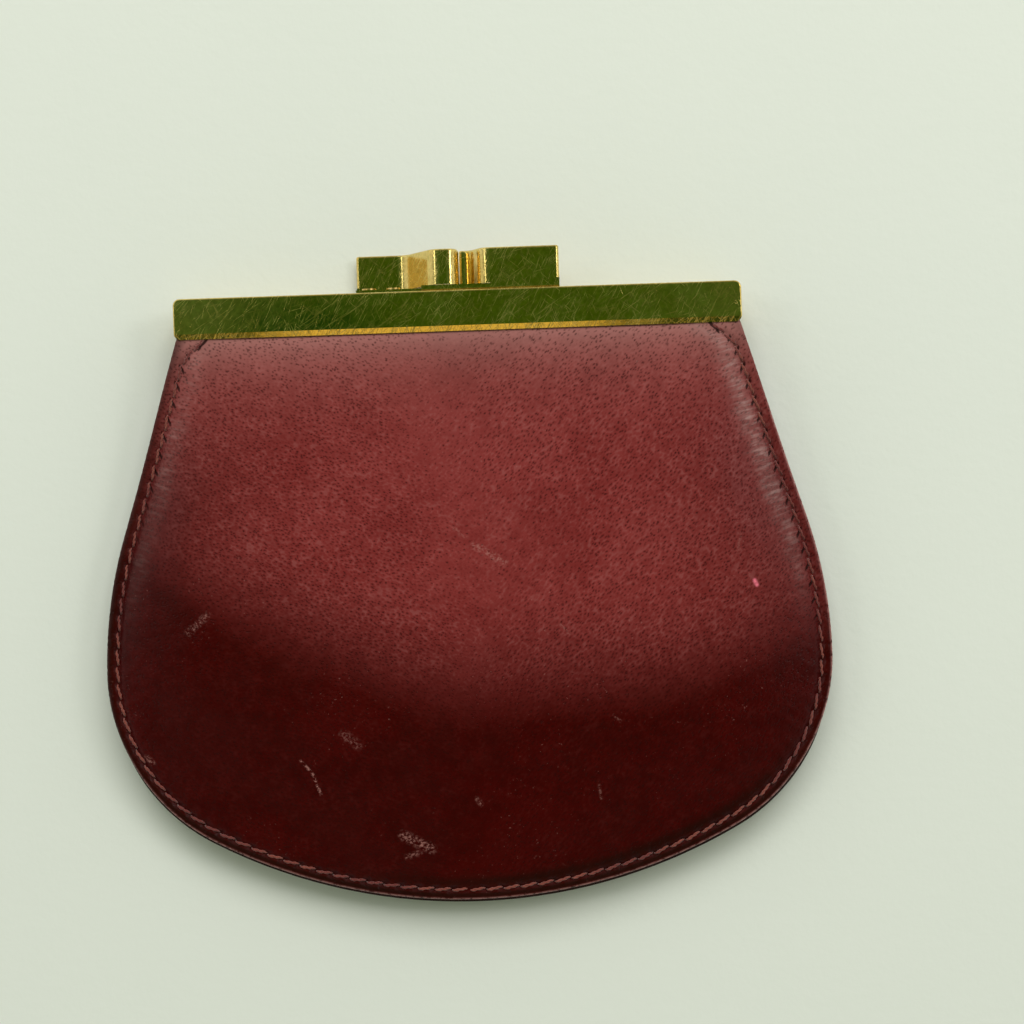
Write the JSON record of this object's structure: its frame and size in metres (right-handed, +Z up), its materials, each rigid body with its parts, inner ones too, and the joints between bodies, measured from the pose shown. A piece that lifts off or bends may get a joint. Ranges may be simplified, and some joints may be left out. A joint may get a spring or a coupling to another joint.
{
  "type": "coin purse",
  "caption": "Small flat leather coin purse with a flared round-bottomed pouch, a straight brass frame that hinges open, and a bent-tab snap clasp.",
  "frame": {"origin": "centre of the purse's outline as it lies on its back, at the table surface under it", "axes": "+X along the frame bar to the right as the front is looked at, +Y from the pouch's rounded bottom up to the clasp, +Z up out of the front face"},
  "size_m": [0.0966, 0.0868, 0.009],
  "materials": {
    "leather": "oxblood grained leather with a soft satin polish and small scuffs",
    "gusset_leather": "thin skived oxblood leather, folded flat",
    "lining": "smooth thin lining skin, dull",
    "gilt_brass": "polished gilt brass with fine scratches",
    "clasp_rivet": "brass rivet, dulled",
    "frame_steel": "plain bright steel strip",
    "thread": "waxed reddish-brown sewing thread"
  },
  "bodies": {
    "pouch": {"rear_bar": "gilt_brass", "rear_frame_strip": "frame_steel", "rear_clasp_tab": "gilt_brass", "rear_clasp_rivets": "clasp_rivet", "rear_panel": "leather", "rear_lining": "lining", "front_panel_lower": "leather", "front_lining_lower": "lining", "front_panel_fold": "leather", "front_lining_fold": "lining", "left_gusset_rear_leaf": "gusset_leather", "right_gusset_rear_leaf": "gusset_leather", "left_hinge_rivet": "frame_steel", "right_hinge_rivet": "frame_steel", "front_fold_stitches": "thread", "front_lower_stitches": "thread", "rear_stitches": "thread"},
    "front_jaw": {"front_bar": "gilt_brass", "front_frame_strip": "frame_steel", "front_clasp_tab": "gilt_brass", "front_clasp_rivets": "clasp_rivet", "front_panel_upper": "leather", "front_lining_upper": "lining", "left_gusset_front_leaf": "gusset_leather", "right_gusset_front_leaf": "gusset_leather", "front_upper_stitches": "thread"}
  },
  "joints": [
    {"name": "jaw_hinge", "type": "hinge", "parent": "pouch", "child": "front_jaw", "pos_m": [0, 0.0114, 0.0045], "axis": [1, 0, 0], "range_deg": [0, 60], "deforming": ["front_panel_fold", "front_lining_fold", "front_fold_stitches"]}
  ]
}
